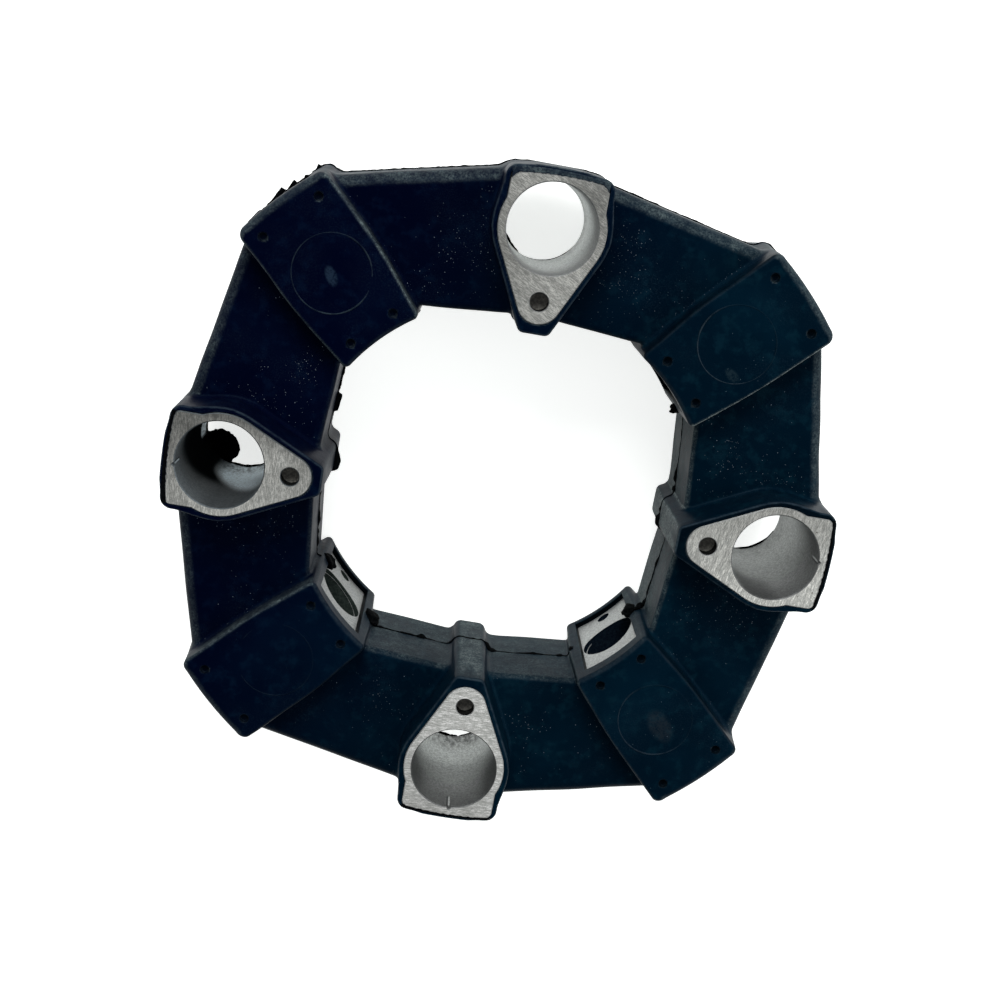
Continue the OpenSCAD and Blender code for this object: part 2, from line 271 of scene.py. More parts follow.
def mesh_object(name, pts, faces, scale=MM):
    mesh = bpy.data.meshes.new(name)
    mesh.from_pydata((np.asarray(pts, float) * scale).tolist(), [], [[int(i) for i in f] for f in faces])
    mesh.validate()
    return link(name, mesh)


def outward(obj):
    """Turns all faces of a closed mesh to the outside."""
    bm = bmesh.new()
    bm.from_mesh(obj.data)
    bmesh.ops.recalc_face_normals(bm, faces=bm.faces[:])
    bm.to_mesh(obj.data)
    bm.free()
    return obj


def bar(name, rows, around=False):
    """A closed bar through rows of points, capped at its ends or joined all the way round."""
    n, m = rows.shape[:2]
    faces = []
    for i in range(n if around else n - 1):
        a, b = m * i, m * ((i + 1) % n)
        faces += [(a + j, b + j, b + (j + 1) % m, a + (j + 1) % m) for j in range(m)]
    if not around:
        faces += [tuple(range(m)), tuple(range(m * n - 1, m * n - m - 1, -1))]
    return mesh_object(name, rows.reshape(-1, 3), faces)


def turned(p, degrees):
    """Points turned round the ring's axis."""
    p = np.asarray(p, float)
    c, s = math.cos(math.radians(degrees)), math.sin(math.radians(degrees))
    x, y = p[..., 0], p[..., 1]
    return np.stack([x * c - y * s, x * s + y * c, p[..., 2]], -1)


def read_mesh(mesh):
    pts = np.empty(len(mesh.vertices) * 3, np.float32)
    mesh.vertices.foreach_get("co", pts)
    return pts.reshape(-1, 3).astype(float)


def eighth_of_rubber(h=0.62, triangles=24500):
    """The 45 degrees from the middle of a boss to the middle of a pad."""
    def field(p):
        return rubber_field(rubber_plan(p[:, 0], p[:, 1]), p[:, 2])

    gx = np.arange(53.0, 146.0, h)
    gy = np.arange(-2 * h, 104.0, h)
    gz = np.arange(-1.5, 80.5, h) + 0.013
    plan = rubber_plan(gx[:, None] + 0 * gy, gy + 0 * gx[:, None])
    values = rubber_field({k: v[:, :, None] for k, v in plan.items()}, gz)
    values[gy > gx[:, None] + 4 * h] = 5.0
    pts, quads = surface_net(values, np.array([gx[0], gy[0], gz[0]]), h)
    obj = mesh_object("eighth", settle(field, pts, h), quads, 1.0)
    bm = bmesh.new()
    bm.from_mesh(obj.data)
    for no in ((0, -1, 0), (-1, 1, 0)):
        bmesh.ops.bisect_plane(bm, geom=bm.verts[:] + bm.edges[:] + bm.faces[:], dist=1e-5,
                               plane_co=(0, 0, 0), plane_no=Vector(no).normalized(), clear_outer=True)
    bmesh.ops.triangulate(bm, faces=bm.faces[:])
    bm.to_mesh(obj.data)
    mod = obj.modifiers.new("fewer", "DECIMATE")
    mod.ratio = min(1.0, triangles / len(bm.faces))
    mod.use_collapse_triangulate = True
    bm.free()
    done = bpy.data.meshes.new_from_object(obj.evaluated_get(bpy.context.evaluated_depsgraph_get()))
    bpy.data.objects.remove(obj)
    bm = bmesh.new()
    bm.from_mesh(done)
    seams = set(), set()
    for e in bm.edges:
        if e.is_boundary:
            for v in e.verts:
                seams[abs(v.co.y) >= abs(v.co.x - v.co.y)].add(v.index)
    tris = np.array([[v.index for v in f.verts] for f in bm.faces])
    bm.free()
    pts = settle(field, read_mesh(done), 0.3, 2)
    bpy.data.meshes.remove(done)
    boss, pad = (sorted(s) for s in seams)
    pts[boss, 1] = 0.0
    pts[pad, :2] = pts[pad, :2].mean(1, keepdims=True)
    g = gradient(field, pts, 0.05)
    norms = g / np.maximum(np.linalg.norm(g, axis=1), 1e-6)[:, None]
    norms[boss, 1] = 0.0
    norms[pad, :2] = norms[pad, :2].mean(1, keepdims=True)
    return pts, norms, tris


def whole_ring(pts, norms, tris):
    """Eight copies of the eighth, welded where they meet."""
    all_p, all_n, all_t = [], [], []
    for c, s in ((1, 0), (0, 1), (-1, 0), (0, -1)):
        for flip in (1, -1):
            m = np.array([[c, s, 0], [-s * flip, c * flip, 0], [0, 0, 1.0]])
            all_t.append(tris[:, ::flip] + len(all_p) * len(pts))
            all_p.append(pts @ m)
            all_n.append(norms @ m)
    p, n, t = np.concatenate(all_p), np.concatenate(all_n), np.concatenate(all_t)
    _, first, back = np.unique(np.round(p, 3) + 0.0, axis=0, return_index=True, return_inverse=True)
    t = back.reshape(-1)[t]
    t = t[(t[:, 0] != t[:, 1]) & (t[:, 1] != t[:, 2]) & (t[:, 0] != t[:, 2])]
    return p[first], n[first], t


WAVES = np.random.default_rng(11).normal(size=(14, 5))


def ripple(p):
    """How far the moulded surface stands off its drawn shape at each point."""
    d = np.zeros(len(p))
    for i, w in enumerate(WAVES):
        k = w[:3] / np.linalg.norm(w[:3]) * (2 * math.pi / (16.0 + 3.4 * i))
        d += 0.035 * np.sin(p @ k + 6.3 * w[3])
    # the segment between the lower boss and the lower right pad bulges at its outside
    a = np.degrees(np.arctan2(p[:, 1], p[:, 0]))
    bulge = step(a, -84.0, -74.0) * step(-a, 57.0, 67.0) * step(np.hypot(p[:, 0], p[:, 1]), 114.0, 124.0)
    d += 1.5 * bulge * step(-np.abs(p[:, 2] - PART_Z), -24.0, -6.0)
    # nothing moves next to the metal
    u, v, pu, pv = fold(p[:, 0], p[:, 1])
    calm = step(np.hypot(u - AXIAL_R, v), 24.0, 30.0) * step(np.hypot(u - PIN_AT, v), 12.0, 16.0)
    return d * calm * np.maximum(step(pv, 14.5, 18.0), step(-np.abs(pu - 110.0), -24.0, -18.0))


def ripple_normals(p, n):
    g = gradient(ripple, p, 0.3)
    m = n - g + n * (g * n).sum(1)[:, None]
    return m / np.linalg.norm(m, axis=1)[:, None]


pts, norms, tris = whole_ring(*eighth_of_rubber())
moved = pts + norms * ripple(pts)[:, None]
moved = np.clip(moved, (-129.94, -129.94, 0.0), (129.94, 129.94, 100.0))
norms = ripple_normals(pts, norms)
rubber = mesh_object("rubber_body", moved, tris)
rubber.data.shade_smooth()
rubber.data.normals_split_custom_set_from_vertices(norms.tolist())
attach(rubber, "root")
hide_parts("rubber_ring")


# Axial inserts
NOTCH_AT = (2.7, 2.0, 8.5, 2.7)      # each bore's notch, in degrees from straight outwards
LAP_LOW = 76.2
# How far the rubber laps over each insert's outer edge, and how much more towards one end
LAP = ((0.45, 0.0), (1.25, 0.018), (0.7, 0.012), (0.3, -0.01))
ROUNDED = (2.0, 4.0, 2.0, 2.0)       # radius to which it fills the edge's two corners


def lap(k, xy):
    """Width of rubber over the outer edge at the given points of the right hand station."""
    width, more = LAP[k]
    y = xy[:, 1]
    ragged = 0.10 * np.sin(y * 1.9 + k) + 0.07 * np.sin(y * 4.3 + 2 * k) + 0.05 * np.sin(y * 9.1)
    radius = ROUNDED[k]
    beyond = np.clip(radius - (SHOULDER_W + 0.3 - np.abs(y)), 0, radius)
    filled = radius - np.sqrt(radius ** 2 - beyond ** 2)
    return np.maximum(width + more * y + ragged + filled, 0.08)


def rubber_lip(k):
    """The rubber over an insert's outer edge."""
    span = math.asin((SHOULDER_W - 0.1) / SHOULDER_R)
    a = np.linspace(-span, span, 90)
    out = np.stack([np.cos(a), np.sin(a)], 1)
    rows = []
    for o, wide in zip(out, lap(k, SHOULDER_R * out)):
        section = ((0.7, LAP_LOW + 0.1), (0.7, AXIAL_TOP - 0.4), (0.2, AXIAL_TOP - 0.12),
                   (0.25 - wide, AXIAL_TOP - 0.12), (-wide, AXIAL_TOP - 0.35), (-wide, LAP_LOW + 0.1))
        rows.append([(*(o * (SHOULDER_R + d)), z) for d, z in section])
    return bar(f"rubber_lip_{k + 1}", turned(rows, 90 * k))


def axial_insert(k):
    """One insert, made at the right hand station and turned to its own."""
    rng = np.random.default_rng(40 + k)
    outline = insert_half(20, 24, 22, 5.3)[1:]
    outline = np.concatenate([outline, (outline * [1, -1])[::-1][1:], [[PIN_AT - TIP_R, 0.0]]])
    tangent = np.roll(outline, -1, 0) - np.roll(outline, 1, 0)
    normal = np.stack([-tangent[:, 1], tangent[:, 0]], 1) / np.linalg.norm(tangent, axis=1)[:, None]
    pts, faces = [], []

    def ring(xy, z):
        start = len(pts)
        pts.extend((x, y, z) for x, y in xy)
        return list(range(start, start + len(xy)))

    def round_hole(x, r, a, z):
        return ring(np.stack([x + r * np.cos(a), r * np.sin(a)], 1), z)

    def bands(rings, flip=False):
        for a, b in zip(rings, rings[1:]):
            for i in range(len(a)):
                j = (i + 1) % len(a)
                faces.append((a[i], b[i], b[j], a[j]) if flip else (a[i], a[j], b[j], b[i]))

    bevel = 0.3
    far = np.linalg.norm(outline, axis=1)
    taken = np.maximum(far - SHOULDER_R + lap(k, outline), 0.0) * (far > SHOULDER_R - 3.5)
    upper = outline * (1 - taken / far)[:, None]
    side = [ring(upper - normal * bevel, AXIAL_TOP), ring(upper, AXIAL_TOP - bevel), ring(upper, LAP_LOW + 0.15),
            ring(outline, LAP_LOW), ring(outline, AXIAL_LOW + bevel), ring(outline - normal * bevel, AXIAL_LOW)]
    bands(side, True)
    # bore, with a small notch in its rim and a groove under it
    fine = np.array([0, 0.8, 1.6, 2.3, 3.0, 4.0])
    angles = np.concatenate([fine, np.linspace(7, 353, 116), 360 - fine[:0:-1]])
    rad = np.radians(angles + NOTCH_AT[k])
    off = np.minimum(angles, 360 - angles)
    levels = [AXIAL_TOP, AXIAL_TOP - 0.35, *np.linspace(AXIAL_TOP - 1.6, AXIAL_LOW + 1.0, 40),
              AXIAL_LOW + 0.4, AXIAL_LOW]
    phase = rng.uniform(0, 6.28, 8)
    bore = []
    for i, z in enumerate(levels):
        r = np.full(len(angles), BORE_R)
        if i in (0, len(levels) - 1):
            r += 0.4
        elif 1 < i < len(levels) - 2:
            r += 0.035 * np.sin(3 * rad + phase[0] + z * 0.11) + 0.03 * np.sin(7 * rad + phase[1] - z * 0.23)
            r += 0.025 * np.sin(13 * rad + phase[2] + z * 0.6) + rng.normal(0, 0.012, len(angles))
        if k != 1:
            depth = AXIAL_TOP - z
            r += np.clip(1 - off / 3.0, 0, 1) * (0.7 * max(0, 1 - depth / 2.4) + 0.3 * max(0, 1 - depth / 12.0))
        bore.append(round_hole(AXIAL_R, r, rad, z))
    bands(bore)
    # hole for the locating pin
    pa = np.radians(np.linspace(0, 360, 56, endpoint=False))
    section = ((PIN_R + 0.3, 0), (PIN_R, 0.3), (PIN_R, 3), (PIN_R - 0.05, PIN_DEPTH - 0.7),
               (PIN_R - 0.7, PIN_DEPTH), (1.4, PIN_DEPTH + 0.35), (0.3, PIN_DEPTH + 0.7))
    pin = [round_hole(PIN_AT, r, pa, AXIAL_TOP - depth) for r, depth in section]
    bands(pin)
    faces.append(pin[-1])
    # upper and lower face
    for loops, up in (((side[0], bore[0], pin[0]), True), ((side[-1], bore[-1]), False)):
        flat = [i for loop in loops for i in loop]
        for tri in tessellate_polygon([[Vector((*pts[i][:2], 0)) for i in loop] for loop in loops]):
            a, b, c = (flat[i] for i in tri)
            (ax, ay, _), (bx, by, _), (cx, cy, _) = pts[a], pts[b], pts[c]
            area = (bx - ax) * (cy - ay) - (cx - ax) * (by - ay)
            if abs(area) > 1e-9:
                faces.append((a, b, c) if (area > 0) == up else (a, c, b))
    obj = outward(mesh_object(f"axial_metal_{k + 1}", turned(pts, 90 * k), faces))
    obj.data.shade_smooth()
    obj.data.set_sharp_from_angle(angle=math.radians(32))
    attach(obj, "root")
    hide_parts(f"axial_insert_{k + 1}")
    return obj


def radial_insert(k):
    """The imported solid's own shape with its edges broken."""
    source = frame["nodes"][f"radial_insert_{k + 1}"]
    mesh = source.data.copy()
    obj = link(f"radial_metal_{k + 1}", mesh)
    mesh.transform(source.matrix_world)
    bm = bmesh.new()
    bm.from_mesh(mesh)
    bmesh.ops.remove_doubles(bm, verts=bm.verts[:], dist=1e-6)
    bmesh.ops.dissolve_limit(bm, angle_limit=math.radians(0.6), verts=bm.verts[:], edges=bm.edges[:])
    sharp = [e for e in bm.edges if len(e.link_faces) == 2 and e.calc_face_angle(0) > math.radians(35)]
    bmesh.ops.bevel(bm, geom=sharp, offset=0.35 * MM, segments=2, profile=0.5, affect="EDGES", clamp_overlap=True)
    bmesh.ops.triangulate(bm, faces=[f for f in bm.faces if len(f.verts) > 4])
    bm.to_mesh(mesh)
    bm.free()
    mesh.materials.clear()
    mesh.shade_smooth()
    mesh.set_sharp_from_angle(angle=math.radians(32))
    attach(obj, "root")
    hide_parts(f"radial_insert_{k + 1}")
    return obj


axial = [axial_insert(k) for k in range(4)]
radial = [radial_insert(k) for k in range(4)]


# Mould flash
def contour(p, t, z):
    """Closed outlines in which the level z cuts the rubber, as lists of x, y points in millimetres."""
    side = p[:, 2] > z
    s = side[t]
    spots, links = {}, {}
    for tri in t[s.any(1) & ~s.all(1)]:
        ends = []
        for a, b in ((0, 1), (1, 2), (2, 0)):
            i, j = sorted((int(tri[a]), int(tri[b])))
            if side[i] != side[j]:
                if (i, j) not in spots:
                    w = (z - p[i, 2]) / (p[j, 2] - p[i, 2])
                    spots[i, j] = p[i, :2] * (1 - w) + p[j, :2] * w
                ends.append((i, j))
        links.setdefault(ends[0], []).append(ends[1])
        links.setdefault(ends[1], []).append(ends[0])
    loops, left = [], set(spots)
    while left:
        here = min(left)
        loop, last = [], None
        while here in left:
            left.discard(here)
            loop.append(spots[here])
            onward = [k for k in links[here] if k != last and k in left]
            if not onward:
                break
            last, here = here, onward[0]
        if len(loop) > 20:
            loops.append(np.array(loop))
    return loops


def resample(path, gap=None, n=None):
    """Points at even distances along a path: n of them, or closed with one every gap millimetres."""
    if gap:
        path = np.concatenate([path, path[:1]])
    run = np.concatenate([[0], np.cumsum(np.linalg.norm(np.diff(path, axis=0), axis=1))])
    at = np.linspace(0, run[-1], n or max(8, int(run[-1] / gap)), endpoint=not gap)
    return np.stack([np.interp(at, run, path[:, 0]), np.interp(at, run, path[:, 1])], 1)


def wander(n, rng, scales):
    """Smooth closed noise along a loop of n samples: a sum over (wavelength in samples, size)."""
    out = np.zeros(n)
    for wave, size in scales:
        knots = max(3, int(n / wave))
        v = rng.normal(0, size, knots)
        x = np.arange(n) * knots / n
        i = np.floor(x).astype(int)
        f = step(x - i, 0, 1)
        out += v[i % knots] * (1 - f) + v[(i + 1) % knots] * f
    return out


# Clots and tears in the flash on the inner walls: x, y, reach along the wall, height, thickness
CLOTS = ((-20.6, -71.6, 1.8, 0.8, 0.7), (-7.2, -72.5, 1.4, 0.4, 0.3), (6.8, -70.4, 1.7, 0.9, 1.3),
         (9.3, -72.3, 2.0, 0.9, 1.2), (27.5, -71.4, 1.3, 0.4, 0.4), (38.5, -69.5, 1.2, 0.6, 0.9),
         (-38.0, -68.0, 1.6, 0.7, 1.4), (68.8, -39.5, 1.4, 0.6, 0.8), (71.3, -21.3, 2.0, 0.5, 0.6),
         (68.4, -3.2, 2.2, 1.1, 1.2), (71.4, 5.9, 1.5, 0.7, 0.6), (72.1, 10.6, 1.2, 0.8, 0.9),
         (71.9, 16.3, 2.4, 0.6, 0.5), (-70.4, -14.8, 1.6, 0.5, 0.6), (-69.5, -25.3, 3.0, 0.5, 0.7),
         (-69.3, -36.0, 2.0, 0.5, 0.6))
# Where the flash is only a hairline: x, y, reach
HAIRLINES = ((16.0, -72.4, 5.5), (71.4, 27.0, 8.0), (70.6, -12.0, 4.0), (-14.0, -72.4, 3.5))
# Teeth torn out of the flash outside the upper left pad: start, tip and end in degrees, height
TEETH = ((138.4, 135.3, 134.9, 2.1), (134.8, 133.0, 132.85, 1.7), (129.5, 128.5, 128.3, 1.8))


def tooth(a, start, tip, end):
    """How much of a tooth's height stands at each angle."""
    return np.clip(np.where(a > tip, (start - a) / (start - tip), (a - end) / (tip - end)), 0, 1)


def flash_fins(loops):
    """A torn fin of rubber along the parting plane, on every wall but those that the metal covers."""
    rng = np.random.default_rng(5)
    pts, faces = [], []
    for loop in loops:
        xy = resample(loop, gap=0.42)
        x, y = xy.T
        n, r = len(xy), np.hypot(x, y)
        u, v, pu, pv = fold(x, y)
        metal = (np.abs(sd_polygon(u, v, INSERT)) < 0.8) | ((pv < 13.0) & (pu > PAD_IN + 0.6) & (pu < PAD_OUT - 1.0))
        if metal.mean() > 0.9:
            continue
        tangent = np.roll(xy, -2, 0) - np.roll(xy, 2, 0)
        normal = np.stack([tangent[:, 1], -tangent[:, 0]], 1)
        normal /= np.maximum(np.linalg.norm(normal, axis=1), 1e-6)[:, None]
        if (x * np.roll(y, -1) - np.roll(x, -1) * y).sum() < 0:
            normal = -normal
        inside = r < 104
        high = 0.22 + np.abs(wander(n, rng, ((4, 0.14), (11, 0.2), (50, 0.16))))
        high = np.where(inside, high, 0.32 + 0.7 * (high - 0.22))
        thick = np.abs(wander(n, rng, ((4, 0.1), (14, 0.12), (60, 0.08)))) * np.where(inside, 1.0, 0.5)
        thick += 0.24 + 0.06 * inside
        for cx, cy, reach in HAIRLINES:
            thin = np.exp(-((x - cx) ** 2 + (y - cy) ** 2) / reach ** 2)
            high, thick = high * (1 - 0.6 * thin), thick * (1 - 0.5 * thin)
        for cx, cy, reach, more, wide in CLOTS:
            near = np.exp(-(((x - cx) ** 2 + (y - cy) ** 2) / reach ** 2) ** 2)
            high, thick = high + more * near, thick + wide * near
        a = np.degrees(np.arctan2(y, x))
        for *at, tall in TEETH:
            high = np.maximum(high, tall * tooth(a, *at) * (r > 139))
        # a plate beside the upper left pad and a torn corner on the left rib
        left = inside & (x < -60)
        high += left * (1.7 * step(y, 18.9, 19.6) * step(-y, -27.2, -26.4) + 0.5 * step(y, 27, 29) * (y < 44))
        fin = left * np.interp(y, (-6.0, -4.6, -1.5, 3.5, 5.0), (0.0, 1.9, 2.3, 0.7, 0.0))
        high, thick = high + fin, thick + 0.35 * fin
        # none on the pads' hollow faces or next to metal
        nose = (pu > 70) & (pv < 17.4) & (r < PAD_IN + 3.0)
        high *= (1 - step(metal.astype(float), 0.1, 0.9)) * ~nose
        drop = wander(n, rng, ((12, 0.3), (40, 0.55), (130, 0.6)))
        z = PART_Z - 0.6 * inside + drop * np.where(inside, 1.0, 0.4)
        tip = z + wander(n, rng, ((4, 0.16), (15, 0.25))) - 0.2 * high
        root = np.full(n, -0.35)
        reach = np.stack([root, high * 0.45, high, high * 0.93, high * 0.4, root], 1)
        level = np.stack([z + thick, z + thick * 0.75, tip + 0.1, tip - 0.1, z - thick * 0.7, z - thick], 1)
        flat = xy[:, None] + normal[:, None] * reach[..., None]
        base = 6 * sum(len(p) for p in pts)
        pts.append(np.concatenate([flat, level[..., None]], 2))
        live = high > 0.05
        for i in range(n):
            j = (i + 1) % n
            a, b = base + 6 * i, base + 6 * j
            if live[i] and live[j]:
                faces += [(a + k, a + (k + 1) % 6, b + (k + 1) % 6, b + k) for k in range(6)]
            elif live[i]:
                faces.append(tuple(range(a, a + 6)))
            elif live[j]:
                faces.append(tuple(range(b + 5, b - 1, -1)))
    used = sorted({i for f in faces for i in f})
    new = {i: k for k, i in enumerate(used)}
    # a fin on a boss's outer wall ends where the object does
    kept = np.clip(np.concatenate(pts).reshape(-1, 3)[used], (-EDGE, -EDGE, 0.0), (EDGE, EDGE, AXIAL_TOP))
    return outward(mesh_object("mould_flash", kept, [[new[i] for i in f] for f in faces]))


def lump(name, centre, size, turn, seed):
    """A torn lump of flash: a rough pebble drawn out to the given sizes."""
    rng = np.random.default_rng(seed)
    bm = bmesh.new()
    bmesh.ops.create_icosphere(bm, subdivisions=4, radius=1.0)
    waves = [(rng.normal(0, 1, 3), rng.uniform(0, 6.28)) for _ in range(9)]
    rot = Matrix.Rotation(math.radians(turn), 3, "Z")
    for v in bm.verts:
        d = sum(math.sin(Vector(w).dot(v.co) * (1.6 + 0.75 * i) + phase) * 0.2 / (1 + 0.3 * i)
                for i, (w, phase) in enumerate(waves))
        q = v.co * (1 + 0.75 * d)
        v.co = (rot @ Vector((q.x * size[0], q.y * size[1], q.z * size[2])) + Vector(centre)) * MM
    mesh = bpy.data.meshes.new(name)
    bm.to_mesh(mesh)
    bm.free()
    mesh.shade_smooth()
    return link(name, mesh)


def torn_skin():
    """Flash across part of the far mouth of the left bore, torn along its free edge."""
    rng = np.random.default_rng(23)
    n, rings = 90, 10
    free = np.array([(16.6, 3.9), (15.4, 3.9), (13.4, 2.5), (10.9, 2.4), (9.2, 3.4), (7.4, 3.1), (5.9, 4.5),
                     (4.0, 6.4), (1.8, 10.1), (2.6, 12.2), (3.7, 13.5), (4.6, 14.8), (4.9, 16.4)])
    edge = resample(free, n=n)
    away = edge - [15.0, 12.0]
    away /= np.linalg.norm(away, axis=1)[:, None]
    frayed = wander(n, rng, ((3, 0.22), (7, 0.3), (20, 0.35))) * np.sin(np.linspace(0.1, 3.04, n))
    edge += away * frayed[:, None]
    rim = arc(0, 0, BORE_R + 0.3, 13.0, 73.5, n - 1)
    pts, faces = [], []
    for upper in (True, False):
        for k in range(rings + 1):
            w = k / rings
            z = AXIAL_LOW + 1.0 - 0.9 * w * w + upper * (0.9 * (1 - w) + 0.22)
            rough = wander(n, np.random.default_rng(60 + k), ((8, 0.1), (20, 0.12)))
            pts.append(np.column_stack([rim * (1 - w) + edge * w, z + rough]))
    size = (rings + 1) * n
    for base, way in ((0, 1), (size, -1)):
        for k in range(base, base + rings * n, n):
            faces += [(i, i + 1, i + n + 1, i + n)[::way] for i in range(k, k + n - 1)]
    border = [*range(0, rings * n, n), *range(rings * n, size), *range(rings * n - 1, n - 1, -n),
              *range(n - 1, 0, -1)]
    faces += [(a, b, b + size, a + size) for a, b in zip(border, border[1:] + border[:1])]
    p = np.concatenate(pts) + [AXIAL_R, 0, 0]
    return outward(mesh_object("torn_skin", turned(p, 180), faces))


def outer_web():
    """Torn flash that bridges the outer opening of the upper left pad along the parting line."""
    rng = np.random.default_rng(77)
    n = 150
    a = np.linspace(141.2, 128.9, n)
    reach = 144.3 + wander(n, rng, ((3, 0.12), (9, 0.16)))
    for *at, tall in TEETH:
        reach = np.maximum(reach, 144.3 + tall * tooth(a, *at) * rng.uniform(0.86, 1.0, n))
    rows = [[(r * math.cos(t), r * math.sin(t), PART_Z + z) for r, z in
             ((141.6, 0.5), (far - 0.5, 0.4), (far, 0.0), (far - 0.4, -0.4), (141.6, -0.5))]
            for t, far in zip(np.radians(a), reach)]
    return bar("outer_web", np.array(rows))


# Slivers of rubber along the far mouths of three bores, where they show as dark arcs:
# station, start and end in degrees round the bore from straight outwards, greatest width
SLIVERS = ((0, -92, -22, 0.75), (1, 112, 153, 0.8), (1, 165, 238, 0.3), (2, 70, 128, 0.95),
           (3, -20, 12, 1.15), (3, 15, 40, 0.45))


def sliver(index):
    k, a0, a1, wide = SLIVERS[index]
    rng = np.random.default_rng(90 + index)
    n = 60
    w = wide * np.sin(np.linspace(0.05, 3.09, n)) ** 0.5 * (1 + wander(n, rng, ((4, 0.12), (12, 0.2))))
    rows = [[(AXIAL_R + r * math.cos(a), r * math.sin(a), AXIAL_LOW + z) for r, z in
             ((BORE_R + 0.3, 0.9), (BORE_R - q * 0.7, 0.75), (BORE_R - q, 0.5), (BORE_R - q * 0.8, 0.25),
              (BORE_R + 0.3, 0.15))]
            for a, q in zip(np.radians(np.linspace(a0, a1, n)), np.clip(w, 0.08, None))]
    return outward(bar(f"mouth_sliver_{index + 1}", turned(rows, 90 * k)))


def witness_ring(k):
    """The faint raised line, 30 mm across, that the mould leaves on a pad's upper face."""
    rng = np.random.default_rng(80 + k)
    n = 220
    a = np.linspace(0, 2 * math.pi, n, endpoint=False)
    turn = math.radians(45 + 90 * k)
    stand = 0.10 + wander(n, rng, ((10, 0.02), (50, 0.035)))
    p = np.array([(PAD_MID * math.cos(turn) + r * math.cos(t), PAD_MID * math.sin(turn) + r * math.sin(t), up)
                  for t, s in zip(a, stand)
                  for r, up in ((RING_R - 0.34, -0.12), (RING_R - 0.12, s),
                                (RING_R + 0.12, s), (RING_R + 0.34, -0.12))])
    p[:, 2] += PAD_H + ripple(p * [1, 1, 0] + [0, 0, PAD_H])
    obj = outward(bar(f"witness_ring_{k + 1}", p.reshape(n, 4, 3), around=True))
    obj.data.shade_smooth()
    return obj


# Torn lumps on the pads' inner faces: pad, place along and across its radius, height, three half sizes
LUMPS = ((225, 77.9, -12.9, 28.5, 2.2, 3.9, 5.2), (225, 77.0, 16.8, 33.0, 2.0, 2.8, 5.0),
         (315, 77.8, 13.6, 31.5, 2.1, 3.0, 5.2), (315, 76.8, 18.0, 36.0, 1.1, 2.2, 1.5),
         (315, 77.4, -16.3, 32.0, 0.8, 1.0, 1.6), (45, 76.4, -15.8, 33.0, 2.4, 1.9, 2.6),
         (135, 77.4, -14.9, 33.5, 1.2, 1.0, 1.2))
flash = [flash_fins(contour(moved, tris, PART_Z + 0.013)), torn_skin(), outer_web()]
flash += [sliver(i) for i in range(len(SLIVERS))]
lips = [rubber_lip(k) for k in range(4)]
rings = [witness_ring(k) for k in range(4)]
lumps = [lump(f"flash_lump_{k + 1}", turned(at, pad), half, pad, 31 + k)
         for k, (pad, *at, half) in enumerate((*row[:4], row[4:]) for row in LUMPS)]
for obj in flash + lips + rings + lumps:
    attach(obj, "root")
    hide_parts("rubber_ring")


